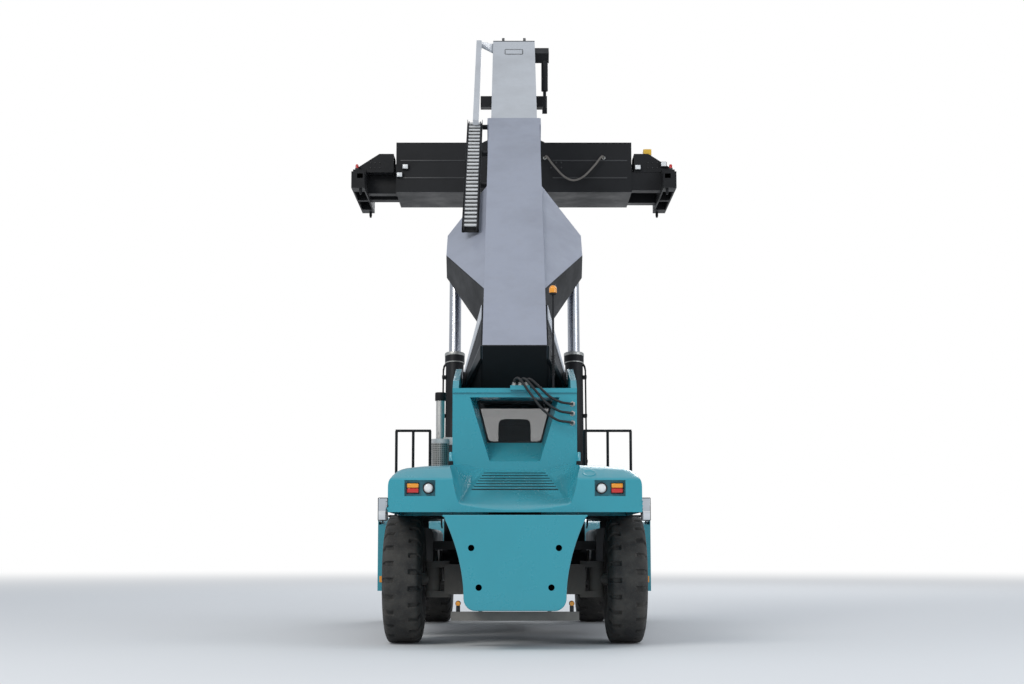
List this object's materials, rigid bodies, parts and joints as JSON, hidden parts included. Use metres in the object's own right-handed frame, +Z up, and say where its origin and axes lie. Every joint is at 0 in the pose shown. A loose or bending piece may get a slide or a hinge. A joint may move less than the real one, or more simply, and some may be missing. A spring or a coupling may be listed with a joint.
{
  "type": "reach stacker",
  "caption": "Port truck with a telescopic boom over a centre cab, twin front tyres, steered rear tyres, a counterweight and a container spreader",
  "frame": {"origin": "on the ground, at the middle of the truck's outline seen from above", "axes": "+X right, +Y forwards towards the spreader, +Z up"},
  "size_m": [6.2, 13.57, 11.0392],
  "materials": {
    "teal_paint": "gloss machine enamel, teal",
    "dark_paint": "satin dark grey frame paint",
    "black_paint": "satin black paint",
    "grey_paint": "satin cool grey paint",
    "pale_paint": "satin pale grey paint",
    "rim_paint": "grey wheel paint",
    "cast_iron": "painted castings",
    "bright_steel": "bright steel pipe",
    "chrome": "hard chrome rod",
    "tyre": "black rubber tyre",
    "glass": "tinted safety glass",
    "seat_fabric": "black seat cloth",
    "dark_plastic": "moulded black plastic",
    "amber_lens": "amber lens",
    "clear_lens": "clear lamp lens",
    "hose_rubber": "black hose rubber"
  },
  "bodies": {
    "root": {"chassis_frame": "dark_paint", "tower": "teal_paint", "counterweight": "teal_paint", "rear_hood": "teal_paint", "engine_grille": "dark_paint", "engine_block": "cast_iron", "front_fenders": "teal_paint", "side_tanks": "dark_paint", "steps_and_rails": "black_paint", "exhaust": "bright_steel", "drive_axle": "cast_iron", "steer_axle": "cast_iron", "cab_shell": "black_paint", "cab_glass": "glass", "operator_seat": "seat_fabric", "cab_controls": "dark_plastic", "mirrors": "dark_plastic", "beacon": "amber_lens", "lamps": "clear_lens", "boom_hose_upper": "hose_rubber", "boom_hose_middle": "hose_rubber", "boom_hose_lower": "hose_rubber"},
    "knuckle_left": {"knuckle_left": "cast_iron"},
    "knuckle_right": {"knuckle_right": "cast_iron"},
    "front_wheel_left": {"front_tyres_left": "tyre", "front_rims_left": "rim_paint"},
    "front_wheel_right": {"front_tyres_right": "tyre", "front_rims_right": "rim_paint"},
    "rear_wheel_left": {"rear_tyre_left": "tyre", "rear_rim_left": "rim_paint"},
    "rear_wheel_right": {"rear_tyre_right": "tyre", "rear_rim_right": "rim_paint"},
    "door_left": {"cab_door_left": "black_paint"},
    "door_right": {"cab_door_right": "black_paint"},
    "boom": {"boom_outer": "grey_paint", "boom_root": "black_paint", "boom_wings": "grey_paint", "energy_chain": "dark_plastic"},
    "boom_stage": {"boom_inner": "pale_paint", "boom_head": "black_paint"},
    "lift_barrel_left": {"lift_barrel_left": "black_paint"},
    "lift_barrel_right": {"lift_barrel_right": "black_paint"},
    "lift_rod_left": {"lift_rod_left": "chrome"},
    "lift_rod_right": {"lift_rod_right": "chrome"},
    "yoke": {"spreader_yoke": "black_paint"},
    "rotator": {"rotator_frame": "black_paint"},
    "spreader": {"spreader_beam": "black_paint", "spreader_hose": "hose_rubber"},
    "spreader_end_left": {"spreader_end_left": "black_paint"},
    "spreader_end_right": {"spreader_end_right": "black_paint"}
  },
  "joints": [
    {"name": "boom_lift", "type": "hinge", "parent": "root", "child": "boom", "pos_m": [0, -3.295, 3.5], "axis": [-1, 0, 0], "range_deg": [-22.6, 36.4]},
    {"name": "boom_extend", "type": "slide", "parent": "boom", "child": "boom_stage", "axis": [0, 0.7727, 0.6347], "range_m": [-3.1, 2.9]},
    {"name": "lift_barrel_left_swing", "type": "hinge", "parent": "root", "child": "lift_barrel_left", "pos_m": [-0.905, -2.035, 1.05], "axis": [-1, 0, 0], "range_deg": [-11.8, 18.8]},
    {"name": "lift_rod_left_slide", "type": "slide", "parent": "lift_barrel_left", "child": "lift_rod_left", "axis": [0, 0.1579, 0.9874], "range_m": [-1.12, 0.7]},
    {"name": "lift_barrel_right_swing", "type": "hinge", "parent": "root", "child": "lift_barrel_right", "pos_m": [0.905, -2.035, 1.05], "axis": [-1, 0, 0], "range_deg": [-11.8, 18.8]},
    {"name": "lift_rod_right_slide", "type": "slide", "parent": "lift_barrel_right", "child": "lift_rod_right", "axis": [0, 0.1579, 0.9874], "range_m": [-1.12, 0.7]},
    {"name": "spreader_level", "type": "hinge", "parent": "boom_stage", "child": "yoke", "pos_m": [0, 5.565, 10.35], "axis": [-1, 0, 0], "range_deg": [-36.6, 22.8]},
    {"name": "spreader_turn", "type": "hinge", "parent": "yoke", "child": "rotator", "pos_m": [0, 5.565, 9], "axis": [0, 0, 1], "range_deg": [-185, 95]},
    {"name": "spreader_sideshift", "type": "slide", "parent": "rotator", "child": "spreader", "axis": [1, 0, 0], "range_m": [-0.8, 0.8]},
    {"name": "spreader_extend_left", "type": "slide", "parent": "spreader", "child": "spreader_end_left", "axis": [-1, 0, 0], "range_m": [0, 3.05]},
    {"name": "spreader_extend_right", "type": "slide", "parent": "spreader", "child": "spreader_end_right", "axis": [1, 0, 0], "range_m": [0, 3.05]},
    {"name": "steer_left", "type": "hinge", "parent": "root", "child": "knuckle_left", "pos_m": [-1.05, -5.035, 0.81], "axis": [0, 0, 1], "range_deg": [-45, 45]},
    {"name": "steer_right", "type": "hinge", "parent": "root", "child": "knuckle_right", "pos_m": [1.05, -5.035, 0.81], "axis": [0, 0, 1], "range_deg": [-45, 45]},
    {"name": "rear_wheel_left_roll", "type": "hinge", "parent": "knuckle_left", "child": "rear_wheel_left", "pos_m": [-1.415, -5.035, 0.81], "axis": [1, 0, 0], "continuous": true},
    {"name": "front_wheel_left_roll", "type": "hinge", "parent": "root", "child": "front_wheel_left", "pos_m": [-1.55, 0.965, 0.81], "axis": [1, 0, 0], "continuous": true},
    {"name": "door_left_swing", "type": "hinge", "parent": "root", "child": "door_left", "pos_m": [-0.737, -2.95, 2.7], "axis": [0, 0, 1], "range_deg": [0, 95]},
    {"name": "rear_wheel_right_roll", "type": "hinge", "parent": "knuckle_right", "child": "rear_wheel_right", "pos_m": [1.415, -5.035, 0.81], "axis": [1, 0, 0], "continuous": true},
    {"name": "front_wheel_right_roll", "type": "hinge", "parent": "root", "child": "front_wheel_right", "pos_m": [1.55, 0.965, 0.81], "axis": [1, 0, 0], "continuous": true},
    {"name": "door_right_swing", "type": "hinge", "parent": "root", "child": "door_right", "pos_m": [0.737, -2.95, 2.7], "axis": [0, 0, -1], "range_deg": [0, 95]}
  ],
  "couplings": [
    {"joint": "lift_barrel_left_swing", "follows": "boom_lift", "ratio": 0.5098},
    {"joint": "lift_rod_left_slide", "follows": "boom_lift", "m_per_rad": -1.7447},
    {"joint": "lift_barrel_right_swing", "follows": "boom_lift", "ratio": 0.5098},
    {"joint": "lift_rod_right_slide", "follows": "boom_lift", "m_per_rad": -1.7447},
    {"joint": "spreader_level", "follows": "boom_lift", "ratio": -1},
    {"joint": "spreader_extend_right", "follows": "spreader_extend_left", "ratio": 1},
    {"joint": "steer_right", "follows": "steer_left", "ratio": 1}
  ]
}
